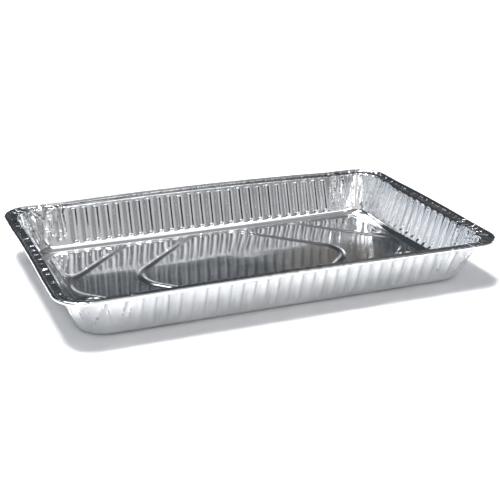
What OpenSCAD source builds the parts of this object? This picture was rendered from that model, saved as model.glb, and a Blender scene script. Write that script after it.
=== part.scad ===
// Full-size, medium-depth foil roasting pan, drawn and pressed from one sheet of aluminium foil.
// The pan stands on its heel at z = 0. X runs along the long side, Y across it and Z upwards.

/* [Overall size] */
// Length over the rolled rim
rim_length = 527; // [430:1:620]
// Width over the rolled rim
rim_width = 325.4; // [270:0.2:380]
// Height of the rim at the corners
rim_height = 55.6; // [40:0.1:80]
// Thickness of the foil
foil = 0.12; // [0.08:0.01:0.3]
// Outer radius of the rim at the corners
rim_corner = 34; // [30:1:40]

/* [Rolled rim] */
// Width of the flange and the rolled edge together
flange_w = 14.5; // [12:0.1:18]
// Radius of the rolled edge
roll_r = 2.25; // [1.6:0.05:3]
// Turn of the foil round the rolled edge, in degrees
roll_turn = 300; // [240:5:310]
// Width of the bend between the flange and the rolled edge
roll_throat = 0.8; // [0.5:0.1:1.5]
// Depth of the flange below the middle of the rolled edge
flange_sink = 0.1; // [0:0.05:0.6]
// Radius between the wall and the flange
shoulder_r = 1.2; // [0.6:0.1:2]
// Radius of the mouth at the corners
mouth_corner = 27; // [22:1:32]
// Rise of the rim in the middle of the right side
bow_right = 1; // [0:0.1:4]
// Rise of the rim in the middle of the back
bow_back = 2.8; // [0:0.1:4]
// Rise of the rim in the middle of the left side
bow_left = 2.2; // [0:0.1:4]
// Rise of the rim in the middle of the front
bow_front = 0.9; // [0:0.1:4]

/* [Fluted walls] */
// How far the foot of the wall stands in from the edge of the rim
wall_inset = 32; // [26:0.5:36]
// Radius of the foot of the wall at the corners
foot_corner = 30; // [26:1:34]
// Radius of the bend between the wall and the heel
heel_r = 11.5; // [8:0.5:12.5]
// Distance from one flute to the next on the long sides
long_pitch = 14; // [11:0.1:18]
// Distance from one flute to the next on the short sides
short_pitch = 14.4; // [11:0.1:18]
// Least straight length between the flutes and the round of a corner, left to the corner's folds
gather_run = 18; // [8:1:30]
// Depth of a flute, pressed outwards
flute_depth = 1.4; // [0.6:0.1:2.4]
// Width of a flute at its mouth
flute_w = 9.6; // [7:0.1:10.6]
// Width of the floor of a flute
flute_floor = 4.6; // [3:0.1:6]
// Height of the run-out at the lower end of a flute
flute_foot = 4.4; // [3:0.1:8]
// Height of the run-out at the upper end of a flute
flute_head = 3.6; // [2.5:0.1:8]
// Height of the plain band between the flutes and the shoulder
plain_band = 0.9; // [0.6:0.1:4]

/* [Gathered corners] */
// Number of folds in each corner
corner_folds = 13; // [8:1:15]
// Depth of the deepest folds
fold_depth = 1.8; // [0.6:0.1:2.4]
// How far a fold leans along the wall, as a part of half its width
fold_lean = 0.45; // [0:0.05:0.6]

/* [Base] */
// How far the centre line of the border bead stands in from the foot of the wall
border_inset = 16; // [15:0.1:18]
// Radius of the centre line of the border bead at the corners
border_corner = 17; // [14:1:22]
// Height of the base floor above the table
floor_rise = 4.2; // [2:0.1:6]
// Height of a bead above the floor
bead_h = 1.5; // [0.8:0.1:2.5]
// Width of the flat top of a bead
bead_top = 2; // [1:0.1:3]
// Width of each side of a bead
bead_side = 4.5; // [3:0.1:5]
// Width of the flat ring that the pan stands on
heel_w = 2; // [1.2:0.1:2.5]
// Angle of the slanted beads to the long side, in degrees
bead_angle = 45; // [42:0.5:50]
// Distance from one slanted bead to the next
chevron_pitch = 86; // [70:1:95]
// Least length of the border bead beside the middle field
middle_run = 40; // [20:1:60]
// Radius of the slanted beads where they turn back
tip_r = 38; // [30:1:42]
// Radius of a field in its narrow corners
narrow_r = 8; // [5:0.5:9]
// Radius of a field in its wide corners
wide_r = 10; // [5:0.5:12]

/* [Hidden] */

// Smoothness: steps along half a side and round a corner, the bend at the heel, the shoulder and the
// rolled edge, and the angle of two steps round a field of the base.
side_steps = 2;
corner_steps = 5;
heel_steps = 4;
shoulder_steps = 2;
roll_steps = 10;
field_step = 48;

// Irregularity of the folds: how far they stray, in half widths, and the share by which depths differ.
fold_stray = 0.22;
fold_unevenness = 0.28;

// Sides are numbered anticlockwise from the right one; even sides are the short ones.
half_size = [rim_length/2, rim_width/2];
bows = [bow_right, bow_back, bow_left, bow_front];

// Each side has as many flutes as its straight foot holds. A run is half the length that they cover.
pitches = [short_pitch, long_pitch];
straight = [for (half = [half_size.y, half_size.x]) half - wall_inset - foot_corner - gather_run];
flutes = [for (i = [0:1]) floor(2*straight[i]/pitches[i])];
runs = [for (i = [0:1]) flutes[i]*pitches[i]/2];

// Levels of the upper face of the foil, and its distances in from the edge of the rim.
flange_z = rim_height - roll_r - flange_sink;
wall_slope = (wall_inset - flange_w)/flange_z;
wall_turn = 90 - atan(wall_slope);
heel_o = wall_inset + heel_r*tan(wall_turn/2);
heel_top = foil + heel_r*(1 - cos(wall_turn));
shoulder_o = flange_w - shoulder_r*tan(wall_turn/2);
shoulder_z = flange_z - shoulder_r*(1 - cos(wall_turn));
flute_end = shoulder_z - plain_band;
border_o = wall_inset + border_inset;
crest_inset = bead_top/2;
foot_inset = crest_inset + bead_side;
crest_o = border_o - crest_inset;
floor_z = foil + floor_rise;
crest_z = floor_z + bead_h;

function wall_o(z) = wall_inset - wall_slope*(z - foil);
function normal_of(side) = [cos(90*side), sin(90*side)];
function half_at(side, o) = half_size[side % 2] - o;

// Radius of the outline's corners at a distance o in from the edge of the rim.
function corner_at(o) = lookup(o, [
    [0, rim_corner], [flange_w, mouth_corner], [wall_inset, foot_corner], [border_o, border_corner]
]);

// Lengths of a corner zone: straight piece, round, straight piece up to the next side's flutes.
function corner_parts(side, o) = let (r = corner_at(o)) [
    half_at(side + 1, o) - r - runs[side % 2], PI*r/2, half_at(side, o) - r - runs[(side + 1) % 2]
];

// A place is [side, along, in corner, depth, lean]: along runs in mm on a side and from 0 to 1 in a
// corner, depth is how far the foil is pressed outwards there and lean moves the point along.
function side_point(p, o) = [
    normal_of(p[0])*half_at(p[0], o) + normal_of(p[0] + 1)*p[1], normal_of(p[0])
];
function corner_point(p, o) =
    let (r = corner_at(o), a = normal_of(p[0]), b = normal_of(p[0] + 1), parts = corner_parts(p[0], o),
         s = (p[1] + p[4])*(parts[0] + parts[1] + parts[2]) - parts[0],
         turn = max(0, min(90, s/parts[1]*90)), out = a*cos(turn) + b*sin(turn),
         centre = a*(half_at(p[0], o) - r) + b*(half_at(p[0] + 1, o) - r))
    [centre + out*r + b*min(0, s) - a*max(0, s - parts[1]), out];

// Order of the places round the pan: two units for each side and the corner after it.
function key(p) = 2*p[0] + (p[2] ? 1 + p[1] : 0.5 + p[1]/runs[p[0] % 2]/2);

// Rise of the bowed rim: full at the rim, none at the heel and in the corners.
function bow(p, z) = p[2] ? 0 : bows[p[0]]*(1 - pow(p[1]/runs[p[0] % 2], 2))
    *pow(max(0, z - heel_top)/(rim_height - heel_top), 2);

function ring_point(p, o, z) = let (q = p[2] ? corner_point(p, o) : side_point(p, o), xy = q[0] + q[1]*p[3])
    [xy.x, xy.y, z + bow(p, z)];

// Places of the rings in the fluted band: four for each flute, two for each fold.
function flute_places(side) = let (run = runs[side % 2], pitch = 2*run/flutes[side % 2])
    [for (i = [0:flutes[side % 2] - 1]) for (e = [-flute_w, -flute_floor, flute_floor, flute_w]/2)
        [side, (i + 0.5)*pitch - run + e, false, abs(e) < flute_w/2 ? flute_depth : 0, 0]];

// Repeatable irregularity between -1 and 1 for each fold, and the slow change of its lean.
function wobble(side, i) = sin(137*i + 71*side + 29*i*i);
function lean_wave(side, i) = sin(50*i + 80*side);
function fold_places(side, level) = [for (i = [0:2*corner_folds])
    let (free = i > 0 && i < 2*corner_folds ? 0.5/corner_folds : 0)
    [side, i/2/corner_folds + free*fold_stray*wobble(side, i), true,
     (i % 2)*fold_depth*(1 - fold_unevenness*(1 - wobble(side + 1, i))),
     free*fold_lean*level*lean_wave(side, i)]];
function fine_places(level) = [for (side = [0:3])
    each concat(flute_places(side), fold_places(side, level))];

// Places of the rings where the flutes run out: one for each ridge between them, and the corners.
function ridge_places() = [for (side = [0:3])
    let (run = runs[side % 2], n = flutes[side % 2], steps = 2*corner_steps)
    each concat([for (i = [1:n - 1]) [side, i*2*run/n - run, false, 0, 0]],
                [for (i = [0:steps]) [side, i/steps, true, 0, 0]])];

// Places of the plain rings at a distance o: round each corner, and some along each side.
function round_places(side, o) = let (parts = corner_parts(side, o)) [for (i = [0:corner_steps])
    [side, (parts[0] + parts[1]*i/corner_steps)/(parts[0] + parts[1] + parts[2]), true, 0, 0]];
function corner_places(o) = [for (side = [0:3]) each round_places(side, o)];
function plain_places(o) = [for (side = [0:3])
    each concat([for (i = [-side_steps:side_steps]) [side, i/side_steps*runs[side % 2], false, 0, 0]],
                round_places(side, o))];

// A ring is [places, o, z, normal], where the normal of the upper face is given along o and z.
function plain(o, z, normal) = [plain_places(o), o, z, normal];
function upper(ring) = [for (p = ring[0]) ring_point(p, ring[1], ring[2])];
function lower(ring) = let (o = ring[1] - foil*ring[3][0], z = ring[2] - foil*ring[3][1])
    [for (p = ring[0]) ring_point(p, o, z)];

// Section of the pan from the border bead out to the free edge inside the roll.
wall_normal = [sin(wall_turn), cos(wall_turn)];
step_fall = atan2(crest_z - foil, crest_o - heel_o - heel_w);
roll_start = roll_turn/2;
roll_in = [roll_r*(1 - cos(roll_start)), rim_height - roll_r*(1 - sin(roll_start))];
flange_end = 2*roll_r + roll_throat;
roll_rise = atan2(roll_in[1] - flange_z, flange_end - roll_in[0]);
heel_rings = [
    [corner_places(crest_o), crest_o, crest_z, [-tan(step_fall/2), 1]],
    plain(heel_o + heel_w, foil, [-tan(step_fall/2), 1]),
    for (i = [0:heel_steps - 1]) let (a = i*wall_turn/heel_steps)
        plain(heel_o - heel_r*sin(a), foil + heel_r*(1 - cos(a)), [sin(a), cos(a)])
];
wall_rings = [
    [ridge_places(), wall_o(heel_top), heel_top, wall_normal],
    [fine_places(-1), wall_o(heel_top + flute_foot), heel_top + flute_foot, wall_normal],
    [fine_places(1), wall_o(flute_end - flute_head), flute_end - flute_head, wall_normal],
    [ridge_places(), wall_o(flute_end), flute_end, wall_normal]
];
rim_rings = [
    for (i = [0:shoulder_steps]) let (a = wall_turn*(1 - i/shoulder_steps))
        plain(shoulder_o + shoulder_r*sin(a), flange_z - shoulder_r*(1 - cos(a)), [sin(a), cos(a)]),
    plain(flange_end, flange_z, [tan(roll_rise/2), 1]),
    for (i = [0:roll_steps]) let (a = roll_start - i*roll_turn/roll_steps)
        plain(roll_r*(1 - cos(a)), rim_height - roll_r*(1 - sin(a)), [-cos(a), sin(a)])
];
rings = concat(heel_rings, wall_rings, rim_rings);

// Fields of the base between the centre lines of the beads: corner points and their radii.
border = [half_at(0, border_o), half_at(1, border_o)];
reach = tip_r*(1/sin(bead_angle) - 1);
slant = border.y/tan(bead_angle);
first_edge = border.x + reach - slant;
chevrons = floor((first_edge - middle_run/2)/chevron_pitch);
function edge_x(i) = first_edge - i*chevron_pitch;
narrow = narrow_r + foot_inset;
wide = wide_r + foot_inset;
corner_field = [
    [[border.x, border.y], border_corner], [[first_edge, border.y], narrow],
    [[border.x, reach*tan(bead_angle)], narrow]
];
function chevron(i) = let (out = edge_x(i), in = edge_x(i + 1)) [
    [[out, border.y], wide], [[in, border.y], narrow], [[in + slant, 0], tip_r],
    [[in, -border.y], narrow], [[out, -border.y], wide], [[out + slant, 0], tip_r]
];
middle_edge = edge_x(chevrons);
middle_field = [
    [[middle_edge, border.y], wide], [[-middle_edge, border.y], wide],
    [[-middle_edge - slant, 0], tip_r], [[-middle_edge, -border.y], wide],
    [[middle_edge, -border.y], wide], [[middle_edge + slant, 0], tip_r]
];

// The same field on the other side of an axis, still anticlockwise.
function reverse(list) = [for (i = [len(list) - 1:-1:0]) list[i]];
function mirrored(field, m) = let (f = [for (c = field) [[c[0].x*m.x, c[0].y*m.y], c[1]]])
    m.x*m.y < 0 ? reverse(f) : f;
fields = [
    for (m = [[1, 1], [-1, 1], [-1, -1], [1, -1]]) mirrored(corner_field, m),
    for (i = [0:1:chevrons - 1]) for (m = [[1, 1], [-1, 1]]) mirrored(chevron(i), m),
    middle_field
];

// Outline of a field, moved in by d from the centre lines and rounded at its corners.
function cross2(a, b) = a.x*b.y - a.y*b.x;
function unit(v) = v/norm(v);
function corner_arc(before, at, after, rc, d) =
    let (u = unit(at - before), v = unit(after - at), nu = [-u.y, u.x], nv = [-v.y, v.x],
         bend = atan2(cross2(u, v), u*v), side = sign(bend), r = rc - side*d,
         p = at + (nu + nv)*d/(1 + nu*nv), centre = p - u*r*tan(abs(bend)/2) + nu*side*r,
         n = 2*ceil(abs(bend)/field_step) + 1)
    [for (i = [0:n]) let (t = bend*i/n) centre - side*r*(nu*cos(t) - u*sin(t))];
function field_loop(field, d) = let (n = len(field)) [for (i = [0:n - 1])
    each corner_arc(field[(i + n - 1) % n][0], field[i][0], field[(i + 1) % n][0], field[i][1], d)];

// Triangles of a flat face with corners v, numbered in the points p, found by cutting off ears. An area
// below the sliver counts as none.
sliver = 1e-6;
function span(list, a, b) = a > b ? [] : [for (i = [a:b]) list[i]];
function area2(a, b, c) = cross2(b - a, c - a);
function holds(a, b, c, q) = min(area2(a, b, q), area2(b, c, q), area2(c, a, q)) > -sliver;
function is_ear(p, v, i) =
    let (n = len(v), a = v[(i + n - 1) % n], b = v[i], c = v[(i + 1) % n])
    area2(p[a], p[b], p[c]) > sliver
    && len([for (k = v) if (k != a && k != b && k != c && holds(p[a], p[b], p[c], p[k])) k]) == 0;
function find_ear(p, v, i) = is_ear(p, v, i % len(v)) || i > 2*len(v) ? i % len(v) : find_ear(p, v, i + 1);
function ears(p, v, from = 0, done = []) = len(v) < 3 ? done :
    let (n = len(v), i = find_ear(p, v, from))
    ears(p, concat(span(v, 0, i - 1), span(v, i + 1, n - 1)), i + 1,
         concat(done, [[v[(i + n - 1) % n], v[i], v[(i + 1) % n]]]));

// A hole is joined to the outline round it at the nearest pair of corners that face each other, where
// no edge lies between them.
function faces_in(p, v, i, q) =
    let (n = len(v), a = p[v[(i + n - 1) % n]], b = p[v[i]], c = p[v[(i + 1) % n]],
         left_in = area2(a, b, q) > 0, left_out = area2(b, c, q) > 0)
    area2(a, b, c) > 0 ? left_in && left_out : left_in || left_out;
function crosses(a, b, c, d) =
    area2(a, b, c)*area2(a, b, d) < 0 && area2(c, d, a)*area2(c, d, b) < 0;
function is_clear(p, v, a, b) = let (n = len(v))
    len([for (i = [0:n - 1]) if (crosses(a, b, p[v[i]], p[v[(i + 1) % n]])) i]) == 0;
function nearest_pair(p, v, hole, pairs, least = 0) =
    let (best = min([for (pair = pairs) if (pair[0] > least) pair[0]]),
         found = [for (pair = pairs) if (pair[0] == best) pair][0],
         a = p[v[found[1]]], b = p[hole[found[2]]])
    is_clear(p, v, a, b) && is_clear(p, hole, a, b) ? found : nearest_pair(p, v, hole, pairs, best);
function join_hole(p, v, hole) =
    let (pairs = [for (i = [0:len(v) - 1]) for (j = [0:len(hole) - 1])
             if (faces_in(p, v, i, p[hole[j]])) [norm(p[v[i]] - p[hole[j]]), i, j]],
         pair = nearest_pair(p, v, hole, pairs), n = len(hole))
    concat(span(v, 0, pair[1]), [for (k = [0:n]) hole[(pair[2] + k) % n]], span(v, pair[1], len(v) - 1));
function join_holes(p, v, holes, k = 0) =
    k == len(holes) ? v : join_holes(p, join_hole(p, v, holes[k]), holes, k + 1);

// Triangles between two rings, inner one first: each step along a ring is taken as the other ring
// passes its middle.
function middles(ring) = let (k = [for (p = ring) key(p)], n = len(k))
    [for (i = [0:n - 1]) (k[i] + (i < n - 1 ? k[i + 1] : k[0] + 8))/2];
function strip(a, a0, b, b0) =
    let (n = len(a), m = len(b), ma = middles(a), mb = middles(b), eps = 1e-9)
    concat(
        [for (i = [0:n - 1]) let (j = len([for (k = mb) if (k < ma[i] - eps) k]))
            [a0 + i, b0 + j % m, a0 + (i + 1) % n]],
        [for (j = [0:m - 1]) let (i = len([for (k = ma) if (k <= mb[j] + eps) k]))
            [b0 + j, b0 + (j + 1) % m, a0 + i % n]]);
function bead_side_faces(a0, b0, n) = [for (i = [0:n - 1]) let (k = (i + 1) % n)
    each [[a0 + i, b0 + i, b0 + k], [a0 + i, b0 + k, a0 + k]]];

// Number of the first point of each list, and the total at the end.
function starts(lists, k = 0, sum = 0) =
    k == len(lists) ? [sum] : concat([sum], starts(lists, k + 1, sum + len(lists[k])));

module pan() {
    crests = [for (f = fields) field_loop(f, crest_inset)];
    feet = [for (f = fields) field_loop(f, foot_inset)];
    loops = concat(crests, feet);
    ring_at = starts([for (r = rings) r[0]]);
    loop_at = [for (s = starts(loops)) s + ring_at[len(rings)]];
    total = loop_at[len(loops)];
    n = len(fields);

    // The upper face first, then the lower one in the same order.
    base_points = concat([for (c = crests) for (q = c) [q.x, q.y, crest_z]],
                         [for (c = feet) for (q = c) [q.x, q.y, floor_z]]);
    top_points = concat([for (r = rings) each upper(r)], base_points);
    under_points = concat([for (r = rings) each lower(r)], [for (q = base_points) q - [0, 0, foil]]);

    // The crest of the beads is one face with a hole for each field.
    plan = [for (q = top_points) [q.x, q.y]];
    outline = [for (i = [0:ring_at[1] - 1]) i];
    holes = [for (f = [0:n - 1]) reverse([for (i = [loop_at[f]:loop_at[f + 1] - 1]) i])];
    crest_faces = ears(plan, join_holes(plan, outline, holes));
    floor_faces = [for (f = [n:2*n - 1]) each ears(plan, [for (i = [loop_at[f]:loop_at[f + 1] - 1]) i])];
    side_faces = [for (f = [0:n - 1]) each bead_side_faces(loop_at[f + n], loop_at[f], len(crests[f]))];
    ring_faces = [for (i = [0:len(rings) - 2])
        each strip(rings[i][0], ring_at[i], rings[i + 1][0], ring_at[i + 1])];
    skin = concat(crest_faces, floor_faces, side_faces, ring_faces);

    // The free edge of the foil inside the roll closes the solid.
    last = len(rings) - 1;
    m = len(rings[last][0]);
    edge_faces = [for (i = [0:m - 1])
        let (a = ring_at[last] + i, b = ring_at[last] + (i + 1) % m)
        each [[a, b, b + total], [a, b + total, a + total]]];

    color("silver") polyhedron(
        points = concat(top_points, under_points),
        faces = concat([for (t = skin) reverse(t)], [for (t = skin) [for (i = t) i + total]], edge_faces),
        convexity = 12);
}

pan();
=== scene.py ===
# %% [markdown]
# # A foil roasting pan
#
# The real pan is pressed in one stroke from a flat sheet of aluminium foil, 0.12 mm thick. The
# sheet goes over the edge of the die, so the long and short walls get neat upright flutes, while
# the spare foil of the four corners gathers into folds. Last of all the cut edge is rolled up.
#
# The model follows the same idea: one closed sheet whose points are worked out from the section of
# the pan, from the base out to the rolled edge. The CAD model gives the sizes, so it is loaded
# first.

# %% Load the CAD frame
import math

import bpy
import numpy as np
from mathutils import Matrix, Vector
from mathutils.geometry import delaunay_2d_cdt


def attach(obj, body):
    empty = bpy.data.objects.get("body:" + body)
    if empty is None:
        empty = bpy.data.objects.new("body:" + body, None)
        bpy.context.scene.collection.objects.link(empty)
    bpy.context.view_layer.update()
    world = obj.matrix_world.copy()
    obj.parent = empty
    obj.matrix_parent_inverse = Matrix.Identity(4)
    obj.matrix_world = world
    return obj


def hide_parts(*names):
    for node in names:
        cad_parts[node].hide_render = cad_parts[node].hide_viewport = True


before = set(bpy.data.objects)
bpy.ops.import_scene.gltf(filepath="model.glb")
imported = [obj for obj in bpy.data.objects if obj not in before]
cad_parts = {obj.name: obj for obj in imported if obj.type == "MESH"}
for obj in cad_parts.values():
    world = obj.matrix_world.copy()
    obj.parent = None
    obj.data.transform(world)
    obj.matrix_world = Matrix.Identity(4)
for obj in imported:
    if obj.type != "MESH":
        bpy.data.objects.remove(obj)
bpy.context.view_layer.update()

MM = 0.001

# %% [markdown]
# ## The camera
#
# The picture is taken from the front left and from above, at about 21 degrees. Lens and place were
# found by fitting the corners of the rim and of the base, so that the perspective agrees as well
# as the angle. A turn about the line of sight of less than a degree is part of it.

# %% Place the camera
FRAME_PX = 500
SENSOR_MM = 36.0
FOCAL_PX = 1055.07
AZIMUTH, ELEVATION, ROLL = (math.radians(v) for v in (-22.76, 20.87, 0.65))
DISTANCE = 1343.07 * MM
TARGET = Vector((28.75, 51.13, 0.0)) * MM

back = Vector((math.sin(AZIMUTH) * math.cos(ELEVATION),
               -math.cos(AZIMUTH) * math.cos(ELEVATION),
               math.sin(ELEVATION)))
level_right = (-back).cross(Vector((0, 0, 1))).normalized()
level_up = level_right.cross(-back)
right = math.cos(ROLL) * level_right + math.sin(ROLL) * level_up
up = -math.sin(ROLL) * level_right + math.cos(ROLL) * level_up

camera_data = bpy.data.cameras.new("camera")
camera_data.sensor_width = SENSOR_MM
camera_data.lens = FOCAL_PX * SENSOR_MM / FRAME_PX
camera = bpy.data.objects.new("camera", camera_data)
bpy.context.scene.collection.objects.link(camera)
placing = Matrix((right, up, back)).transposed().to_4x4()
placing.translation = TARGET + DISTANCE * back
camera.matrix_world = placing
bpy.context.scene.camera = camera
print("camera at", [round(v, 4) for v in camera.matrix_world.translation], "m")

# %% [markdown]
# ## The section of the pan
#
# From the base outwards the foil steps down to a narrow ring that the pan stands on, turns up in a
# generous bend, climbs the sloping wall, turns out at the shoulder into the flange and ends in the
# rolled edge. Every level is given by its distance in from the edge of the rim and its height, in
# millimetres, and by the direction of the upper face there.

# %% Sizes of the section
RIM_LENGTH, RIM_WIDTH, RIM_HEIGHT = 527.0, 325.4, 55.6
HALF_SIZE = (RIM_LENGTH / 2, RIM_WIDTH / 2)
FOIL = 0.12
FLANGE_W, FLANGE_SINK, ROLL_R = 14.5, 0.1, 2.25
SHOULDER_R, HEEL_R = 1.2, 11.5
WALL_INSET, BORDER_O = 32.0, 48.0
BEAD_H, FLOOR_RISE, REST_WIDTH = 1.5, 4.2, 1.5

FLANGE_Z = RIM_HEIGHT - ROLL_R - FLANGE_SINK
WALL_SLOPE = (WALL_INSET - FLANGE_W) / FLANGE_Z
WALL_TURN = math.pi / 2 - math.atan(WALL_SLOPE)
HEEL_O = WALL_INSET + HEEL_R * math.tan(WALL_TURN / 2)
HEEL_TOP = FOIL + HEEL_R * (1 - math.cos(WALL_TURN))
SHOULDER_O = FLANGE_W - SHOULDER_R * math.tan(WALL_TURN / 2)
FLOOR_Z = FOIL + FLOOR_RISE
CREST_Z = FLOOR_Z + BEAD_H
STEP_END = HEEL_O + REST_WIDTH
print("the wall leans out by", round(math.degrees(math.atan(WALL_SLOPE)), 1), "degrees")

# %% [markdown]
# A ring of points is needed wherever the section turns or the press leaves a mark. So the rings lie
# close together in the bends and at both ends of the flutes, and wide apart up the plain wall.

# %% Levels of the section
WALL_NORMAL = (math.sin(WALL_TURN), math.cos(WALL_TURN))
ROLL_START = math.radians(150)
STEP_RINGS, HEEL_RINGS, SHOULDER_RINGS, ROLL_RINGS = 7, 8, 4, 11
WALL_LEVELS = (9.2, 10.4, 11.8, 13.4, 18, 24, 30, 36, 41, 45.5, 47, 48.2, 49.2, 50.2, 51.4)
FLANGE_DIPS = ((12.0, 0.12), (9.8, 0.2), (7.6, 0.16), (5.6, 0.0))


def wall_o(z):
    """Inset of the wall at the height z."""
    return WALL_INSET - WALL_SLOPE * (z - FOIL)


print("the top of the wall lies", round(wall_o(WALL_LEVELS[-1]), 1), "mm in from the edge of the rim")


# %% List the rings of the sheet
def section():
    """Rings from the border bead to the free edge.

    Each is (inset, height, direction along the inset, direction along z, kind).
    """
    rings = []
    for t in np.linspace(0, 1, STEP_RINGS):
        z = FOIL + (CREST_Z - FOIL) * (0.5 + 0.5 * math.cos(math.pi * t))
        rings.append((BORDER_O + (STEP_END - BORDER_O) * t, z, 0.0, 1.0, "step"))
    for a in np.linspace(0, WALL_TURN, HEEL_RINGS):
        rings.append((HEEL_O - HEEL_R * math.sin(a), FOIL + HEEL_R * (1 - math.cos(a)),
                      math.sin(a), math.cos(a), "heel"))
    for z in WALL_LEVELS:
        rings.append((wall_o(z), z, *WALL_NORMAL, "wall"))
    for a in np.linspace(WALL_TURN, 0, SHOULDER_RINGS):
        rings.append((SHOULDER_O + SHOULDER_R * math.sin(a), FLANGE_Z - SHOULDER_R * (1 - math.cos(a)),
                      math.sin(a), math.cos(a), "shoulder"))
    for o, dip in FLANGE_DIPS:
        rings.append((o, FLANGE_Z - dip, 0.0, 1.0, "flange"))
    for a in np.linspace(ROLL_START, -ROLL_START, ROLL_RINGS):
        rings.append((ROLL_R * (1 - math.cos(a)), RIM_HEIGHT - ROLL_R * (1 - math.sin(a)),
                      -math.cos(a), math.sin(a), "roll"))
    return rings


RINGS = section()
ring_o, ring_z = (np.array([ring[i] for ring in RINGS]) for i in range(2))
ring_kind = np.array([r[4] for r in RINGS])
print(len(RINGS), "rings:", {k: int((ring_kind == k).sum()) for k in dict.fromkeys(ring_kind)})

# %% [markdown]
# ## The columns of the sheet
#
# Seen from above, every level is a rectangle with round corners. Each side carries as many flutes
# as its straight part holds, and the rest of the way round a corner is left to the folds. A flute
# gets eight columns of points, close together on its two flanks, which are what flashes in the
# light, and wide apart on its flat floor and on the flat ridge between two flutes.

# %% Lay out the columns
LONG_FLUTES, SHORT_FLUTES = 26, 11
LONG_PITCH, SHORT_PITCH = 14.0, 14.4
FLUTES = (SHORT_FLUTES, LONG_FLUTES)
PITCHES = (SHORT_PITCH, LONG_PITCH)
RUNS = (SHORT_FLUTES * SHORT_PITCH / 2, LONG_FLUTES * LONG_PITCH / 2)
FLUTE_COLUMNS = (-4.7, -3.9, -3.0, -2.1, 2.1, 3.0, 3.9, 4.7)
CORNER_COLUMNS = 72
OFF_THE_FLUTES = 99.0

# Sides are numbered anticlockwise from the right one. Corner k follows side k.
col_side, col_corner, col_along, col_offset, col_flute = [], [], [], [], []
for side in range(4):
    count, pitch, run = FLUTES[side % 2], PITCHES[side % 2], RUNS[side % 2]
    for i in range(count):
        for e in FLUTE_COLUMNS:
            col_side.append(side)
            col_corner.append(False)
            col_along.append((i + 0.5) * pitch - run + e)
            col_offset.append(e)
            col_flute.append(i)
    for i in range(CORNER_COLUMNS):
        col_side.append(side)
        col_corner.append(True)
        col_along.append((i + 0.5) / CORNER_COLUMNS)
        col_offset.append(OFF_THE_FLUTES)
        col_flute.append(-1)
col_side, col_corner, col_flute = np.array(col_side), np.array(col_corner), np.array(col_flute)
col_along, col_offset = np.array(col_along), np.array(col_offset)
COLUMNS = len(col_side)
print(COLUMNS, "columns,", sum(FLUTES) * 2, "flutes")

# %% [markdown]
# The outline gets its place and its outward direction for all columns at once. On a side a column
# keeps its distance from the middle. In a corner it keeps its share of the way round, so the
# columns fan out from the heel to the rim as the folds of the real pan do.

# %% The way round a corner
COMPASS = np.array([(1.0, 0.0), (0.0, 1.0), (-1.0, 0.0), (0.0, -1.0)])
CORNER_INSETS = (0, FLANGE_W, WALL_INSET, BORDER_O)
CORNER_RADII = (34, 27, 30, 17)


def corner_radius(o):
    return float(np.interp(o, CORNER_INSETS, CORNER_RADII))


def corner_lengths(side, o):
    r = corner_radius(o)
    return (HALF_SIZE[(side + 1) % 2] - o - r - RUNS[side % 2], math.pi * r / 2,
            HALF_SIZE[side % 2] - o - r - RUNS[(side + 1) % 2])


print("straight, round and straight part of the first corner at the rim, in mm:",
      [round(v, 1) for v in corner_lengths(0, 0)])


# %% The outline at any distance in from the edge of the rim
def outline(o):
    """Places (in mm) and outward directions of all columns at the inset o."""
    place, out = np.zeros((COLUMNS, 2)), np.zeros((COLUMNS, 2))
    r = corner_radius(o)
    for side in range(4):
        a, b = COMPASS[side], COMPASS[(side + 1) % 4]
        on = (col_side == side) & ~col_corner
        place[on] = a * (HALF_SIZE[side % 2] - o) + b * col_along[on][:, None]
        out[on] = a
        on = (col_side == side) & col_corner
        before, bend, after = corner_lengths(side, o)
        s = col_along[on] * (before + bend + after) - before
        turn = np.clip(s / bend, 0, 1) * math.pi / 2
        direction = a * np.cos(turn)[:, None] + b * np.sin(turn)[:, None]
        centre = a * (HALF_SIZE[side % 2] - o - r) + b * (HALF_SIZE[(side + 1) % 2] - o - r)
        place[on] = (centre + direction * r + b * np.minimum(0, s)[:, None]
                     - a * np.maximum(0, s - bend)[:, None])
        out[on] = direction
    return place, out


print("outline of the rim reaches", outline(0)[0].max(axis=0).round(2), "mm from the middle")

# %% [markdown]
# ## What the press does to the foil
#
# Three things move the sheet out of its plain section. The flutes are pressed outwards as upright
# troughs with rounded ends. The corners gather: each corner of this pan has its own set of folds,
# fewer and more slanted ones at the back left, more and steeper ones at the back right. The flange
# keeps small radial marks where the spare foil was nipped. No two flutes or folds are quite alike,
# and a seeded random source makes the differences the same each time.
#
# A flute's depth grows with the distance inside a rectangle with round corners, so flanks and ends
# come from one formula. The height is stretched first, which makes the ends steeper than the flanks.

# %% The form of a flute
FLUTE_DEPTH, FLUTE_HALF = 1.4, 4.5
FLUTE_LOW, FLUTE_HIGH = 8.4, 50.9
FLUTE_ROUND, FLUTE_EDGE, END_STEEPNESS = 3.6, 2.4, 1.5


def smooth(t):
    t = np.clip(t, 0, 1)
    return t * t * (3 - 2 * t)


def inside_round_box(u, v, half_u, half_v, r):
    """Distance inside a rectangle with round corners, negative outside."""
    qu, qv = np.abs(u) - (half_u - r), np.abs(v) - (half_v - r)
    return r - (np.hypot(np.maximum(qu, 0), np.maximum(qv, 0)) + np.minimum(np.maximum(qu, qv), 0))


print("a flute is", 2 * FLUTE_HALF, "mm wide and", round(FLUTE_HIGH - FLUTE_LOW, 1), "mm high")

# %% Press the flutes
SEED = 41
chance = np.random.RandomState(SEED)
SIDE_STEP = 100
DEPTH_RANGE, SHIFT_RANGE, TOP_RANGE = (0.82, 1.1), (-0.25, 0.25), (-0.9, 0.3)

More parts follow.
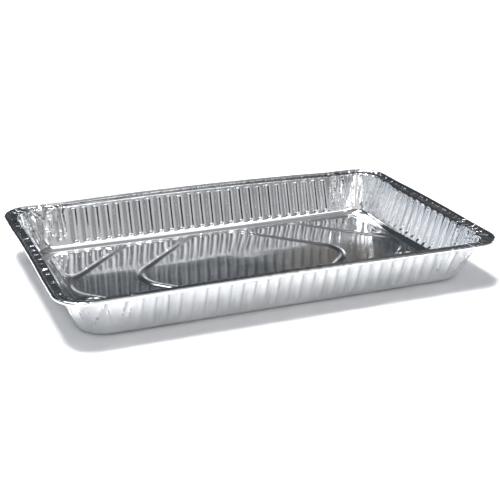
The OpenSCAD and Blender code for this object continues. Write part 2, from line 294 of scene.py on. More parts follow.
flute_number = col_side * SIDE_STEP + col_flute
flute_depth, flute_shift, flute_top = np.ones(COLUMNS), np.zeros(COLUMNS), np.zeros(COLUMNS)
for number in np.unique(flute_number[~col_corner]):
    on = flute_number == number
    flute_depth[on] = chance.uniform(*DEPTH_RANGE)
    flute_shift[on] = chance.uniform(*SHIFT_RANGE)
    flute_top[on] = chance.uniform(*TOP_RANGE)


def flute_press(z):
    """Outward displacement of the flutes, in mm, for every column at the height z."""
    middle, half = (FLUTE_LOW + FLUTE_HIGH) / 2, (FLUTE_HIGH - FLUTE_LOW) / 2
    height = z - middle - flute_top * (z > middle)
    lean = flute_shift * (z - middle) / half
    depth = inside_round_box(col_offset - lean, height * END_STEEPNESS,
                             FLUTE_HALF, half * END_STEEPNESS, FLUTE_ROUND)
    return np.where(col_corner, 0, FLUTE_DEPTH * flute_depth * smooth(depth / FLUTE_EDGE))


print("deepest flute at half height:", round(float(flute_press(FLUTE_HIGH / 2).max()), 2), "mm")

# %% [markdown]
# A fold is a ridge with two straight flanks, because thin foil creases where it gathers. It starts
# some way above the heel, deepens upwards and leans along the wall. Two crossing waves on top of
# the folds stand for the fine crumple between them.

# %% List the folds of the corners
# Each corner: number of folds, their depth in mm, their lean, and the depth of the fine crumple.
CORNERS = {0: (15, 2.0, 0.035, 0.2), 1: (12, 2.0, 0.09, 0.15),
           2: (13, 1.6, 0.07, 0.15), 3: (13, 1.8, 0.06, 0.15)}
CORNER_SEED = SEED + 10
PLACE_RANGE, FLANK_RANGE, FOLD_DEPTH_RANGE, START_RANGE = (-0.3, 0.3), (0.25, 0.6), (0.45, 1.15), (6, 14)
LEAN_STEP = 3


def fold_list(corner):
    count, depth, lean, crumple = CORNERS[corner]
    source = np.random.RandomState(CORNER_SEED + corner)
    folds = []
    for i in range(count):
        centre = (i + 0.5 + source.uniform(*PLACE_RANGE)) / count
        folds.append(dict(centre=centre, left=source.uniform(*FLANK_RANGE) / count,
                          right=source.uniform(*FLANK_RANGE) / count,
                          depth=depth * source.uniform(*FOLD_DEPTH_RANGE),
                          lean=lean * source.uniform(-1, 1) + lean * math.sin(LEAN_STEP * i + corner),
                          start=source.uniform(*START_RANGE)))
    return folds, crumple


FOLDS = {corner: fold_list(corner) for corner in CORNERS}
print("folds in the corners:", [len(folds) for folds, _ in FOLDS.values()])

# %% Press the folds
MIDDLE_Z, HALF_WALL = 30, 22
FOLD_RUN, CRUMPLE_START, CRUMPLE_RUN = 14, 10, 10
FOLD_FADE = 0.06
# Each wave: how fast it runs along the corner, up the wall and from corner to corner.
FINE_WAVE, BROAD_WAVE = (95, 9, 1), (41, -14, 2)


def crossing_waves(t, level, corner):
    """Product of two slanted waves, from -1 to 1."""
    fine, broad = (np.sin(a * t + b * level + c * corner) for a, b, c in (FINE_WAVE, BROAD_WAVE))
    return fine * broad


def fold_press(z):
    """Outward displacement of the corner folds, in mm, at the height z."""
    d = np.zeros(COLUMNS)
    level = (z - MIDDLE_Z) / HALF_WALL
    for corner, (folds, crumple) in FOLDS.items():
        on = (col_side == corner) & col_corner
        t = col_along[on]
        total = np.zeros(len(t))
        for f in folds:
            s = t - (f["centre"] + f["lean"] * level)
            share = np.where(s < 0, -s / f["left"], s / f["right"])
            total += f["depth"] * np.maximum(0, 1 - share) * smooth((z - f["start"]) / FOLD_RUN)
        total += crumple * crossing_waves(t, level, corner) * smooth((z - CRUMPLE_START) / CRUMPLE_RUN)
        ends = smooth(np.minimum(t, 1 - t) / FOLD_FADE)
        d[on] = total * ends
    return d


print("deepest fold at the top of the wall:", round(float(fold_press(WALL_LEVELS[-1]).max()), 2), "mm")

# %% [markdown]
# Where the rim is rolled, the spare foil of each flute is nipped into a small radial ridge across
# the flange. The ridges are strongest on the left side of this pan. In the corners they follow each
# other more closely, at uneven steps.

# %% Marks on the flange
# Share of a ridge's height on the columns at these distances from the middle of its flute.
CRIMP_SHAPE = {2.1: 0.8, 3.0: 1.0, 3.9: 0.4}
# Right, back, left and front side.
CRIMP_STRENGTH = (0.35, 0.2, 1.2, 0.2)
CRIMP_RANGE, CORNER_CRIMP_RANGE, CRIMP_SHARE = (0.42, 0.7), (0.5, 0.95), 0.95
LEFT_SIDE, SAME_COLUMN = 2, 0.1
CORNER_MARGIN, CORNER_STEPS, SECOND_SHARE = 2, (3, 6), 0.5

crimp = np.zeros(COLUMNS)
for side in range(4):
    facing = -1 if side == LEFT_SIDE else 1
    for flute in range(FLUTES[side % 2]):
        depth = CRIMP_STRENGTH[side] * chance.uniform(*CRIMP_RANGE) * (chance.rand() < CRIMP_SHARE)
        here = (col_side == side) & (col_flute == flute)
        for offset, share in CRIMP_SHAPE.items():
            crimp[here & (np.abs(col_offset - facing * offset) < SAME_COLUMN)] = depth * share
    on = np.flatnonzero((col_side == side) & col_corner)
    step = CORNER_MARGIN
    while step < len(on) - CORNER_MARGIN:
        crimp[on[step]] = chance.uniform(*CORNER_CRIMP_RANGE)
        crimp[on[step + 1]] = crimp[on[step]] * SECOND_SHARE
        step += int(chance.randint(*CORNER_STEPS))
print("marks on the flange:", int((crimp > 0).sum()))

# %% [markdown]
# ## The rings of points
#
# Each ring is the outline at its inset, moved by what the press does there. The middle of each side
# also rises a little towards the rim, because such thin foil springs back when it leaves the die.
# The folds run out over the shoulder, and the nips of the flange run on into the rolled edge.

# %% Work out the points
# Rise of the right, back, left and front side, in mm.
BOWS = (1.0, 2.8, 2.2, 0.9)
FOLD_ON_SHOULDER, NIP_ON_SHOULDER, NIP_BY_ROLL, NIP_ON_ROLL = 0.55, 0.6, 0.4, 0.5
BY_ROLL_O, ROLL_MOUTH = 6, -0.9


def bow(z):
    share = np.where(col_corner, 1.0, col_along / np.where(col_side % 2 == 0, RUNS[0], RUNS[1]))
    high = max(0.0, z - HEEL_TOP) / (RIM_HEIGHT - HEEL_TOP)
    return np.array(BOWS)[col_side] * (1 - share ** 2) * high ** 2


def ring_points(index):
    o, z, n_o, n_z, kind = RINGS[index]
    place, out = outline(o)
    press = np.zeros(COLUMNS)
    if kind in ("heel", "wall"):
        press = flute_press(z) + fold_press(z)
    if kind == "shoulder":
        press = (fold_press(WALL_LEVELS[-1]) * FOLD_ON_SHOULDER * n_o / WALL_NORMAL[0]
                 + crimp * (1 - n_o) * NIP_ON_SHOULDER)
    if kind == "flange":
        press = crimp * (NIP_BY_ROLL if o < BY_ROLL_O else 1.0)
    if kind == "roll":
        press = crimp * NIP_ON_ROLL * max(0.0, n_z) * (n_o > ROLL_MOUTH)
    xy = place + out * (n_o * press)[:, None]
    return np.column_stack([xy, z - n_z * press + bow(z)])


grid = np.array([ring_points(i) for i in range(len(RINGS))])
print("grid of", grid.shape[0], "by", grid.shape[1], "points")

# %% [markdown]
# ## The base
#
# Beads stiffen the flat base: one runs round it, and slanted ones cross it in pairs that turn back
# at a point, which divides the base into fields. Modelling each bead by itself would leave seams
# where beads meet. So each field is given by its corners on the middle lines of the beads, and the
# side of a bead is a set of loops round the field, further and further in, whose height comes from
# a smooth profile. Where beads branch, the loops of all fields fit together by themselves.

# %% The fields between the beads
BEAD_ANGLE = math.radians(45)
TIP_R, BORDER_R = 38.0, CORNER_RADII[-1]
BEAD_HALF = 5.5
NARROW, WIDE = 8 + BEAD_HALF, 10 + BEAD_HALF
BORDER = (HALF_SIZE[0] - BORDER_O, HALF_SIZE[1] - BORDER_O)
REACH = TIP_R * (1 / math.sin(BEAD_ANGLE) - 1)
SLANT = BORDER[1] / math.tan(BEAD_ANGLE)
CHEVRON_PITCH = 86.0
OUTER_X = BORDER[0] + REACH - SLANT
INNER_X = OUTER_X - CHEVRON_PITCH


def mirrored(field, mx, my):
    flipped = [((x * mx, y * my), r) for (x, y), r in field]
    return flipped[::-1] if mx * my < 0 else flipped


corner_field = [(BORDER, BORDER_R), ((OUTER_X, BORDER[1]), NARROW), ((BORDER[0], REACH), NARROW)]
chevron = [((OUTER_X, BORDER[1]), WIDE), ((INNER_X, BORDER[1]), NARROW), ((INNER_X + SLANT, 0), TIP_R),
           ((INNER_X, -BORDER[1]), NARROW), ((OUTER_X, -BORDER[1]), WIDE), ((OUTER_X + SLANT, 0), TIP_R)]
middle = [((INNER_X, BORDER[1]), WIDE), ((-INNER_X, BORDER[1]), WIDE), ((-INNER_X - SLANT, 0), TIP_R),
          ((-INNER_X, -BORDER[1]), WIDE), ((INNER_X, -BORDER[1]), WIDE), ((INNER_X + SLANT, 0), TIP_R)]
fields = [mirrored(corner_field, mx, my) for mx, my in ((1, 1), (-1, 1), (-1, -1), (1, -1))]
fields += [mirrored(chevron, 1, 1), mirrored(chevron, -1, 1), middle]
print(len(fields), "fields")

# %% Loops round a field
LOOP_STEP, STRAIGHT_SHARE = 3.6, 1.3


def loop(field, inset):
    """Outline of a field, moved in from the beads' centre lines and rounded, in even steps."""
    points = []
    for i in range(len(field)):
        before, at, after = (np.array(field[(i + k) % len(field)][0], float) for k in (-1, 0, 1))
        u, v = (at - before) / np.linalg.norm(at - before), (after - at) / np.linalg.norm(after - at)
        nu, nv = np.array((-u[1], u[0])), np.array((-v[1], v[0]))
        bend = math.atan2(u[0] * v[1] - u[1] * v[0], float(u @ v))
        side = math.copysign(1, bend)
        r = field[i][1] - side * inset
        corner = at + (nu + nv) * inset / (1 + float(nu @ nv))
        centre = corner - u * r * math.tan(abs(bend) / 2) + nu * side * r
        steps = max(3, int(abs(bend) * r / LOOP_STEP) + 1)
        for k in range(steps + 1):
            t = bend * k / steps
            points.append(centre - side * r * (nu * math.cos(t) - u * math.sin(t)))
    even = []
    for p, q in zip(points, points[1:] + points[:1]):
        cuts = max(1, round(float(np.linalg.norm(q - p)) / (LOOP_STEP * STRAIGHT_SHARE)))
        even += [p + (q - p) * k / cuts for k in range(cuts)]
    return np.array(even)


print("points round the middle field:", len(loop(middle, 0.0)))


# %% Which points lie in a field
def within(points, ring):
    """Which points lie inside a closed outline, by counting crossings."""
    x, y = points[:, 0], points[:, 1]
    inside = np.zeros(len(points), bool)
    for (x0, y0), (x1, y1) in zip(ring, np.roll(ring, -1, axis=0)):
        crossing = (y0 > y) != (y1 > y)
        if y0 != y1:
            inside ^= crossing & (x < (x1 - x0) * (y - y0) / (y1 - y0) + x0)
    return inside


print("the middle of the pan lies in the middle field:",
      bool(within(np.zeros((1, 2)), loop(middle, 0.0))[0]))

# %% Put the loops of the beads in place
PROFILE_END = 5.6
INSETS = (1.3, 2.5, 3.7, 4.9, 6.3)


def bead_profile(d):
    return BEAD_H * (0.5 + 0.5 * math.cos(math.pi * min(d, PROFILE_END) / PROFILE_END))


rim_of_base = grid[0][:, :2]
flat, height, edges = [tuple(p) for p in rim_of_base], [CREST_Z] * COLUMNS, []
edges += [(i, (i + 1) % COLUMNS) for i in range(COLUMNS)]
for field in fields:
    for inset in INSETS:
        ring = loop(field, inset)
        start = len(flat)
        flat += [tuple(p) for p in ring]
        height += [FLOOR_Z + bead_profile(inset)] * len(ring)
        edges += [(start + i, start + (i + 1) % len(ring)) for i in range(len(ring))]
print(len(flat), "points on the sides of the beads")

# %% [markdown]
# The crest of each bead gets a line of points, and the floor of each field an even pattern of
# triangles. Points that would come too close to the ones before them are left out. The triangles
# between all of them are found by Delaunay's rule, which keeps the loops as edges. The floor then
# swells slightly, by a broad dome and a few long waves, which makes its reflections wander.

# %% Spread points over the crests and the floor
CREST_GAP, FLOOR_GAP, FLOOR_STEP = 1.0, 3.4, 6.5
taken = np.array(flat)


def add_free(points, z, gap):
    """Adds the points that keep a gap to all points so far."""
    global taken
    for p in points:
        if np.min(np.hypot(*(taken - p).T)) > gap:
            flat.append(tuple(p))
            height.append(z)
            taken = np.vstack([taken, p])


add_free(np.vstack([loop(field, 0.0) for field in fields]), CREST_Z, CREST_GAP)
rows = np.arange(-BORDER[1], BORDER[1], FLOOR_STEP * math.sqrt(3) / 2)
pattern = np.array([(x + (k % 2) * FLOOR_STEP / 2, y) for k, y in enumerate(rows)
                    for x in np.arange(-BORDER[0], BORDER[0], FLOOR_STEP)])
for field in fields:
    add_free(pattern[within(pattern, loop(field, INSETS[-1]))], FLOOR_Z, FLOOR_GAP)
print(len(flat), "points on the base")

# %% Join them with triangles
SAME_POINT = 1e-5
UP_TO_THE_HULL = 0
points_found, _, faces_found, sources, _, _ = delaunay_2d_cdt(
    [Vector(p) for p in flat], edges, [], UP_TO_THE_HULL, SAME_POINT)
base_flat = np.array([tuple(p) for p in points_found])
base_x, base_y = base_flat[:, 0], base_flat[:, 1]
base_faces = [tuple(f) for f in faces_found]
print(len(base_faces), "triangles on the base, loose points:",
      len(base_flat) - len({i for f in base_faces for i in f}))

# %% Let the floor swell
SWELL_H, WAVE_H, WAVES, WAVE_LENGTHS = 0.9, 0.045, 14, (55, 130)

room = np.clip(1 - (base_x / BORDER[0]) ** 2, 0, 1) * np.clip(1 - (base_y / BORDER[1]) ** 2, 0, 1)
swell = SWELL_H * room
for _ in range(WAVES):
    angle, length = chance.uniform(0, math.pi), chance.uniform(*WAVE_LENGTHS)
    phase = chance.uniform(0, 2 * math.pi)
    swell = swell + WAVE_H * np.sqrt(room) * np.sin(
        2 * math.pi * (base_x * math.cos(angle) + base_y * math.sin(angle)) / length + phase)
base_z = np.array([height[source[0]] for source in sources]) + swell
print("the floor swells by up to", round(float(swell.max()), 2), "mm")

# %% [markdown]
# ## One closed sheet
#
# Rings and base share their border points. The lower face is the upper one moved by the thickness
# of the foil against its own direction, and a narrow strip closes the free edge inside the roll.
# A Solidify modifier could do the same, but built by hand the lower face keeps the number of each
# point, so that both faces can carry the same marks.

# %% Number the points of the upper face
ring_count = len(RINGS)
upper = grid.reshape(-1, 3)
border_of = {}
for i, source in enumerate(sources):
    hits = [k for k in source if k < COLUMNS]
    if hits:
        border_of[i] = hits[0]
base_number, extra = {}, []
for i in range(len(base_flat)):
    if i in border_of:
        base_number[i] = border_of[i]
    else:
        base_number[i] = len(upper) + len(extra)
        extra.append((base_x[i], base_y[i], base_z[i]))
upper = np.vstack([upper, np.array(extra)])
total = len(upper)
print(total, "points,", len(border_of), "of them shared by the rings and the base")

# %% List the faces of the upper side
quads = []
for j in range(ring_count - 1):
    for i in range(COLUMNS):
        k = (i + 1) % COLUMNS
        quads.append((j * COLUMNS + i, (j + 1) * COLUMNS + i, (j + 1) * COLUMNS + k, j * COLUMNS + k))
tris = [tuple(base_number[i] for i in f) for f in base_faces]
area = [np.cross(upper[f[1]] - upper[f[0]], upper[f[2]] - upper[f[0]])[2] for f in tris]
tris = [f if a > 0 else f[::-1] for f, a in zip(tris, area)]
top_faces = quads + tris
print(len(quads), "faces with four corners,", len(tris), "with three")


# %% Smooth directions of the sheet
def directions(points, faces):
    """Direction of the sheet at every point, from all faces round it."""
    sums = np.zeros_like(points)
    for size in (3, 4):
        part = np.array([f for f in faces if len(f) == size])
        p = points[part]
        n = np.cross(p[:, 1] - p[:, 0], p[:, 2] - p[:, 0])
        if size == 4:
            n = np.cross(p[:, 2] - p[:, 0], p[:, 3] - p[:, 1])
        for k in range(size):
            np.add.at(sums, part[:, k], n)
    return sums / np.linalg.norm(sums, axis=1)[:, None]


sheet_normal = directions(upper, top_faces)
print("direction of the base:", np.round(sheet_normal[-1], 2))

# %% Build the mesh
lower = upper - FOIL * sheet_normal
last = (ring_count - 1) * COLUMNS
edge_faces = [(last + i, last + i + total, last + (i + 1) % COLUMNS + total, last + (i + 1) % COLUMNS)
              for i in range(COLUMNS)]
under_faces = [tuple(i + total for i in f[::-1]) for f in top_faces]
every_face = top_faces + under_faces + edge_faces
mesh = bpy.data.meshes.new("foil_pan")
mesh.from_pydata((np.vstack([upper, lower]) * MM).tolist(), [], every_face)
mesh.validate()
print("pan:", len(mesh.vertices), "points,", sum(len(f) - 2 for f in every_face), "triangles")

# %% [markdown]
# ## What the finish has to know
#
# The rolling lines of the foil were there before the press and run along the flat sheet, so every
# point keeps where it lay in that sheet. The marks of the press follow the pan instead, so every
# point also keeps how far round the pan it is and how far out along the section. Three shares say
# how much the foil is crumpled, how much it is nipped, and whether it belongs to the base. A finish
# painted by height alone could not tell a corner from a side.

# %% Keep the places in the flat sheet
def keep_place(name, place):
    """Stores a flat place in metres for the upper points, and again for the lower ones."""
    kept = mesh.attributes.new(name, "FLOAT_VECTOR", "POINT")
    both = np.vstack([np.column_stack([place, np.zeros(total)])] * 2)
    kept.data.foreach_set("vector", both.astype(np.float32).ravel())


steps = np.hypot(np.diff(ring_o), np.diff(ring_z))
spread = np.concatenate([[0], np.cumsum(steps)])
border_place, border_out = outline(BORDER_O)
flat_grid = (border_place[None] + border_out[None] * spread[:, None, None]).reshape(-1, 2)
in_base = upper[len(flat_grid):, :2]
keep_place("sheet", np.vstack([flat_grid, in_base]) * MM)
print("from the border bead to the free edge the sheet is", round(float(spread[-1]), 1), "mm wide")


# %% Keep how much the foil is crumpled
def keep_share(name, by_ring, base_share):
    """Stores a share from 0 to 1, given for the rings and once for all points of the base."""
    shares = np.concatenate([by_ring.ravel(), np.full(total - len(flat_grid), base_share)])
    kept = mesh.attributes.new(name, "FLOAT", "POINT")
    kept.data.foreach_set("value", np.concatenate([shares, shares]).astype(np.float32))
    print(name + ":", int((shares > 0).sum()), "points")


WEAR_START, WEAR_RUN, WEAR_FADE = 9, 10, 0.08
CORNER_WEAR = {"shoulder": 1.0, "flange": 1.0}
SIDE_WEAR = {"shoulder": 0.15, "flange": 0.3}
UPPER_ROLL = slice(-ROLL_RINGS, -ROLL_RINGS + 6)
CORNER_ROLL_WEAR, SIDE_ROLL_WEAR = 0.4, 0.1

crumpled = np.zeros((ring_count, COLUMNS))
away_from_ends = smooth(np.minimum(col_along, 1 - col_along) / WEAR_FADE)
for j, (_, z, _, _, kind) in enumerate(RINGS):
    share = float(smooth((z - WEAR_START) / WEAR_RUN)) if kind == "wall" else CORNER_WEAR.get(kind, 0.0)
    crumpled[j] = np.where(col_corner, share * away_from_ends, SIDE_WEAR.get(kind, 0.0))
crumpled[UPPER_ROLL] = np.where(col_corner, CORNER_ROLL_WEAR, SIDE_ROLL_WEAR)
keep_share("crumpled", crumpled, 0.0)

# %% Keep what is nipped and what is base
LONG_SIDE_NIPS = 0.4
nips_of_column = np.where(col_corner | (col_side % 2 == 0), 1.0, LONG_SIDE_NIPS)
keep_share("nipped", (ring_kind == "flange")[:, None] * nips_of_column, 0.0)
keep_share("base", np.repeat((ring_kind == "step").astype(float), COLUMNS), 1.0)

# %% Keep the places round the pan
MIDDLE_OF_WALL = 20.0
middle_wall = outline(MIDDLE_OF_WALL)[0]
around = np.concatenate([[0], np.cumsum(np.hypot(*np.diff(middle_wall, axis=0).T))])
gather_grid = np.stack([np.broadcast_to(around, (ring_count, COLUMNS)),
                        np.broadcast_to(spread[:, None], (ring_count, COLUMNS))], axis=-1).reshape(-1, 2)
keep_place("gather", np.vstack([gather_grid, in_base]) * MM)
print("the way round the wall is", round(float(around[-1])), "mm")

# %% Put the pan into the scene
pan = bpy.data.objects.new("foil_pan", mesh)
bpy.context.scene.collection.objects.link(pan)
mesh.shade_smooth()
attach(pan, "root")
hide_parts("pan")
print("piece:", pan.name, "of", [round(v / MM, 1) for v in pan.dimensions], "mm")

# %% [markdown]
# ## Shader maths as Python expressions
#
# A finish is a sum of small effects, and Python expressions are easier to read than a web of
# nodes. A wrapper round a socket turns each operator into a Math node, and one method adds any
# other node: settings first, then the values or links of its sockets.

# %% A socket that can be calculated with
class Wire:
    """One socket of a node, with the operators that the finishes use."""

    def __init__(self, desk, socket):
        self.desk, self.socket = desk, socket

    def math(self, operation, first, second):
        return self.desk.add("ShaderNodeMath", {"operation": operation}, {0: first, 1: second})

    def __add__(self, other):
        return self.math("ADD", self, other)

    def __radd__(self, other):
        return self.math("ADD", other, self)

    def __sub__(self, other):
        return self.math("SUBTRACT", self, other)

    def __rsub__(self, other):
        return self.math("SUBTRACT", other, self)

    def __mul__(self, other):
        return self.math("MULTIPLY", self, other)

    def __rmul__(self, other):
        return self.math("MULTIPLY", other, self)


print("reflected operators of a socket:", [name for name in vars(Wire) if name.startswith("__r")])


# %% A desk that adds nodes to one tree
class Desk:
    """Adds nodes to one tree, which it empties first."""

    def __init__(self, tree):
        self.tree = tree
        tree.nodes.clear()

    def add(self, kind, settings=None, inputs=None, output=0):
        """Adds one node: its settings first, then values or links, and gives back one output."""
        node = self.tree.nodes.new(kind)
        for name, value in (settings or {}).items():
            if name == "stops":
                ramp = node.color_ramp
                while len(ramp.elements) < len(value):
                    ramp.elements.new(0.5)
                for element, (position, colour) in zip(ramp.elements, value):
                    element.position, element.color = position, colour
            else:
                setattr(node, name, value)
        for name, value in (inputs or {}).items():
            if isinstance(value, Wire):
                self.tree.links.new(value.socket, node.inputs[name])
            else:
                node.inputs[name].default_value = value
        return Wire(self, node.outputs[output]) if len(node.outputs) else None

    def between(self, value, low, high, to_low=0.0, to_high=1.0):
        """Smooth step of a value from low to high."""
        return self.add("ShaderNodeMapRange", {"interpolation_type": "SMOOTHSTEP"},
                        {"Value": value, "From Min": low, "From Max": high,
                         "To Min": to_low, "To Max": to_high})

    def stretched(self, place, scale):
        """A place times a scale of its own in each direction."""
        return self.add("ShaderNodeVectorMath", {"operation": "MULTIPLY"}, {0: place, 1: scale})

    def noise(self, place, scale, detail=2.0, rough=0.5):
        return self.add("ShaderNodeTexNoise", {"noise_dimensions": "3D"},
                        {"Vector": place, "Scale": scale, "Detail": detail, "Roughness": rough})

    def mix(self, factor, first, second):
        return self.add("ShaderNodeMix", {"data_type": "RGBA"}, {0: factor, 6: first, 7: second}, output=2)

    def kept_place(self, name):
        return self.add("ShaderNodeAttribute", {"attribute_name": name}, output=1)

    def kept_share(self, name):
        return self.add("ShaderNodeAttribute", {"attribute_name": name}, output=2)


print("tools on the desk:", [name for name in vars(Desk) if not name.startswith("_")])

# %% [markdown]
# ## The two faces of the foil
#
# Foil is rolled double for its last pass. The face against the polished roll comes out bright, and
# the face against the other sheet comes out satin. This pan has its bright face inside. Both are
# bare metal, and both keep fine lines along the rolling direction. The satin face outside has a
# darker base colour than the bright one, and this is painted shade: it stands in for the shaded floor
# that the outside walls mirror. Its higher roughness is the real satin finish.
#
# The look comes from heights, not from painted stripes, because every tone on bare metal is a
# reflection. Each height is a noise that is stretched along the way the mark runs.

# %% Greys and empty materials
BLUE_SHARE = 0.6


def grey(value, tint=0.0):
    """A grey with a little less red and a little more blue, as aluminium has."""
    return (value * (1 - tint), value, value * (1 + tint * BLUE_SHARE), 1.0)


def new_material(name):
    material = bpy.data.materials.new(name)
    material.use_nodes = True
    return material, Desk(material.node_tree)


print("colour of the bright face:", [round(v, 3) for v in grey(0.9, 0.012)])

# %% [markdown]
# The press leaves four kinds of fine marks that are too small for the mesh. Streaks run up the
# gathered corners, with soft dents between them. On the flange the nipped foil makes small facets,
# each tilted by itself and parted by grooves, and fine lines run along the rim.

# %% Marks of the press
# Scales are features per metre, round the pan and out along the section.
STREAKS, FACETS, FACET_TILTS = (140.0, 22.0, 1.0), (130.0, 22.0, 1.0), (70.0, 40.0, 1.0)
RIM_LINES, DENTS = (18.0, 620.0, 1.0), 220.0
STREAK_H, DENT_H = 0.0026, 0.0003
GROOVE_H, TILT_H, RIM_LINE_H, GROOVE_EDGE = 0.0002, 0.0016, 0.0009, 0.12


def press_marks(desk, place):
    """Height of the marks that the press leaves, in metres."""
    gathered = desk.kept_place("gather")
    streaks = desk.noise(desk.stretched(gathered, STREAKS), 1.0, 2.0, 0.45)
    dents = desk.noise(place, DENTS, 1.0, 0.5)
    facets = desk.add("ShaderNodeTexVoronoi", {"feature": "DISTANCE_TO_EDGE"},
                      {"Vector": desk.stretched(gathered, FACETS), "Scale": 1.0})
    groove = desk.between(facets, 0.0, GROOVE_EDGE)
    tilt = desk.noise(desk.stretched(gathered, FACET_TILTS), 1.0, 1.0, 0.5)
    rim_lines = desk.noise(desk.stretched(gathered, RIM_LINES), 1.0, 1.0, 0.5)
    in_corners = (streaks - 0.5) * STREAK_H + (dents - 0.5) * DENT_H
    on_flange = groove * GROOVE_H + (tilt - 0.5) * TILT_H + (rim_lines - 0.5) * RIM_LINE_H
    return desk.kept_share("crumpled") * in_corners + desk.kept_share("nipped") * on_flange


print("scale of the heights in the corners:", round(STREAK_H / MM, 2), "mm, on the flange:",
      round(TILT_H / MM, 2), "mm")

# %% [markdown]
# The base mirrors the walls, and the rolling lines smear each reflection across their direction. A
# deeper bump would do that with noise and sparkle. Instead, a few weak copies of the same metal are
# mixed in there, each facing a little further over across the lines, so the smear stays smooth.

# %% Finish of one face
LINES, BROAD_LINES, GRAIN, CLOUDS = (9.0, 520.0, 9.0), (5.0, 90.0, 5.0), 900.0, 18.0
BROAD_SHARE, LINE_ROUGH = 3, 0.6
CLEAN_TINT, DULL_TINT, DULL, CLOUD_EDGES = 0.012, 0.02, 0.9, (0.35, 0.7)
HAIR_SHARE = 0.07


def foil_finish(name, rough, rough_spread, line_height, grain_height, base, folded, hair_tilts):
    """Metal with rolling lines. Heights are in metres, tilts in degrees."""
    material, desk = new_material(name)
    place = desk.kept_place("sheet")
    lines = desk.noise(desk.stretched(place, LINES), 1.0, 3.0, 0.6)
    broad = desk.noise(desk.stretched(place, BROAD_LINES), 1.0, 2.0, 0.5)
    grain = desk.noise(place, GRAIN, 2.0, 0.5)
    across_sheet = desk.add("ShaderNodeSeparateXYZ", {}, {0: place}, output=1)
    cloud = desk.noise(place, CLOUDS, 3.0, 0.6)
    colour = desk.mix(desk.between(cloud, *CLOUD_EDGES),
                      grey(base, CLEAN_TINT), grey(base * DULL, DULL_TINT))
    roughness = rough + (cloud - 0.5) * rough_spread + (lines - 0.5) * (rough_spread * LINE_ROUGH)
    waves = (press_marks(desk, place) * folded + (lines - 0.5) * line_height
             + (broad - 0.5) * (line_height * BROAD_SHARE))

    def facing(height):
        normal = desk.add("ShaderNodeBump", {}, {"Strength": 1.0, "Distance": 1.0, "Height": height})
        return desk.add("ShaderNodeBsdfPrincipled", {},
                        {"Base Color": colour, "Metallic": 1.0, "Roughness": roughness, "Normal": normal})

    shader = facing(waves + (grain - 0.5) * grain_height)
    on_base = desk.kept_share("base")
    for degrees in hair_tilts:
        slope = math.tan(math.radians(degrees))
        shader = desk.add("ShaderNodeMixShader", {},
                          {0: on_base * HAIR_SHARE, 1: shader, 2: facing(waves - across_sheet * slope)})
    desk.add("ShaderNodeOutputMaterial", {}, {"Surface": shader})
    print(name, "has", len(desk.tree.nodes), "nodes")
    return material


# %% Bright face inside, satin face outside
bright_foil = foil_finish("bright_foil", rough=0.08, rough_spread=0.04, line_height=0.00003,
                          grain_height=0.000003, base=0.9, folded=1.0, hair_tilts=(1.6, 3.2, 4.8, 6.4))
# The satin face's darker base colour, 0.77 against 0.9, is painted shade on the outside walls.
satin_foil_painted_shade = foil_finish("satin_foil_painted_shade", rough=0.42, rough_spread=0.08, line_height=0.00004,
                         grain_height=0.00001, base=0.77, folded=0.15, hair_tilts=())
mesh.materials.append(bright_foil)
mesh.materials.append(satin_foil_painted_shade)
face_material = np.zeros(len(mesh.polygons), np.int32)
face_material[len(top_faces):] = 1
mesh.polygons.foreach_set("material_index", face_material)
print("bright faces:", int((face_material == 0).sum()), "satin faces:", int((face_material == 1).sum()))

# %% [markdown]
# ## Floor and light
#
# Bare metal shows what is round it, so the light is arranged by direction. The surroundings are
# dim, with hardly any light low behind the pan, which is what the middle of the base mirrors. Soft
# patches at the front and the sides put light and dark onto the flanks of the flutes. A strong
# patch nearly overhead, a little behind, lights the floor. The patches belong to the surroundings
# and not to lamps, which gives them even edges and little noise.

# %% Floor
FLOOR_HALF, FLOOR_DROP = 5.0, 0.0002
OBJECT_PLACE = 3
square = [(-1, -1), (1, -1), (1, 1), (-1, 1)]
floor_mesh = bpy.data.meshes.new("floor")
floor_mesh.from_pydata([(x * FLOOR_HALF, y * FLOOR_HALF, 0) for x, y in square], [], [(0, 1, 2, 3)])
floor = bpy.data.objects.new("floor", floor_mesh)
floor.location.z = -FLOOR_DROP
bpy.context.scene.collection.objects.link(floor)
floor_material, desk = new_material("pale_floor")
speckle = desk.noise(desk.add("ShaderNodeTexCoord", {}, output=OBJECT_PLACE), 60.0, 3.0)
paint = desk.mix(desk.between(speckle, 0.3, 0.7), grey(0.93), grey(0.91))
matt = desk.add("ShaderNodeBsdfPrincipled", {}, {"Base Color": paint, "Roughness": 0.9})
desk.add("ShaderNodeOutputMaterial", {}, {"Surface": matt})
floor_mesh.materials.append(floor_material)
print("floor of", 2 * FLOOR_HALF, "m, just under the pan")

# %% [markdown]
# A patch is given by two angles, as on a map of the sky: azimuth 0 is in front of the pan, positive
# to the right, and elevation 0 is level. Its edges fade smoothly, so no hard line shows in the foil.

# %% Directions in the surroundings
DEGREES = 180 / math.pi
world = bpy.data.worlds.new("studio")
bpy.context.scene.world = world
world.use_nodes = True
desk = Desk(world.node_tree)
sky = desk.add("ShaderNodeSeparateXYZ", {}, {0: desk.add("ShaderNodeTexCoord", {}, output=0)})
sky_x, sky_y, sky_z = (Wire(desk, socket) for socket in sky.socket.node.outputs)
azimuth = desk.add("ShaderNodeMath", {"operation": "ARCTAN2"}, {0: sky_x, 1: 0.0 - sky_y}) * DEGREES
elevation = desk.add("ShaderNodeMath", {"operation": "ARCSINE"}, {0: sky_z}) * DEGREES


def panel(az0, az1, el0, el1, edge_az, edge_el):
    """1 inside a soft-edged patch of the surroundings, 0 outside."""
    return (desk.between(azimuth, az0 - edge_az, az0) * desk.between(azimuth, az1, az1 + edge_az, 1.0, 0.0)
            * desk.between(elevation, el0 - edge_el, el0)
            * desk.between(elevation, el1, el1 + edge_el, 1.0, 0.0))


print("nodes for the directions:", len(desk.tree.nodes))

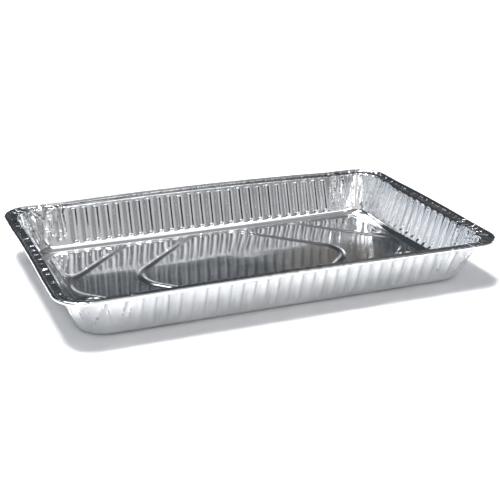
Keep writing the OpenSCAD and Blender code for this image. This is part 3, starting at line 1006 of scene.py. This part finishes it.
# %% Patches of light
# The surroundings are dim up to 40 degrees and a little brighter from 70 degrees up. The wide low
# patch in front grows weaker to the right, and the patches above it are narrower.
dim = desk.between(elevation, 40.0, 70.0, 0.06, 0.36)
front = (panel(-8, 44, 6, 25, 8, 6) * desk.between(azimuth, 10.0, 30.0, 0.53, 0.22)
         + panel(-12, 30, 28, 36, 5, 2) * 1.9 + panel(-12, 29, 37, 44, 5, 3) * 1.2
         + panel(16, 32, 44, 56, 4, 3) * 0.8 + panel(32, 46, 46, 58, 4, 4) * 0.3
         + panel(45, 100, 24, 50, 10, 6) * 0.12)
left = (panel(-60, -12, 19, 40, 8, 6) * 0.66 + panel(-130, -86, 0, 34, 8, 8) * 0.6
        + panel(-86, -62, 19, 34, 4, 5) * 0.4)
right_side = panel(91, 128, 2, 22, 3, 3) * 1.7 + panel(45, 80, 4, 25, 6, 4) * 0.25
overhead = panel(-165, -60, 76, 88, 5, 3) * 52.0
behind = overhead + panel(-180, -140, 54, 69, 6, 4) * 3.0 + panel(132, 162, 58, 80, 6, 5) * 0.8
brown = panel(146, 154, 8, 34, 3, 4)
light = dim + front + left + right_side + behind + brown * 0.05
print("nodes for the light:", len(desk.tree.nodes))

# %% Colour of the light
# What comes from low behind is bluish, apart from one narrow brown patch.
from_behind = desk.between(desk.add("ShaderNodeMath", {"operation": "ABSOLUTE"}, {0: azimuth}), 80.0, 120.0)
blue = from_behind * desk.between(elevation, 30.0, 50.0, 1.0, 0.0)
tone = desk.mix(blue, (0.99, 0.995, 1.02, 1), (0.84, 0.97, 1.14, 1))
tone = desk.mix(brown, tone, (1.06, 0.99, 0.92, 1))
background = desk.add("ShaderNodeBackground", {}, {"Color": tone, "Strength": light})
desk.add("ShaderNodeOutputWorld", {}, {"Surface": background})
print("nodes of the surroundings:", len(desk.tree.nodes))

# %% [markdown]
# The surroundings light the floor alike everywhere. A small lamp high over the left end is near
# enough to light that end more than the other.

# %% Lamp over the left end
LAMP_SIZE, LAMP_POWER = 0.25, 5.5
LAMP_PLACE, LAMP_AIM = Vector((-0.36, -0.1, 0.95)), Vector((-0.3, -0.2, 0.0))
lamp_data = bpy.data.lights.new("left_lamp", "AREA")
lamp_data.shape, lamp_data.size, lamp_data.size_y = "RECTANGLE", LAMP_SIZE, LAMP_SIZE
lamp_data.energy = LAMP_POWER
lamp = bpy.data.objects.new("left_lamp", lamp_data)
lamp.location = LAMP_PLACE
lamp.rotation_euler = (LAMP_AIM - LAMP_PLACE).to_track_quat("-Z", "Y").to_euler()
bpy.context.scene.collection.objects.link(lamp)
print("lamp of", LAMP_POWER, "W,", round(LAMP_PLACE.z, 2), "m above the floor")

# %% Show the tones as they are
bpy.context.scene.view_settings.view_transform = "Standard"
print("view:", bpy.context.scene.view_settings.view_transform)

# %% [markdown]
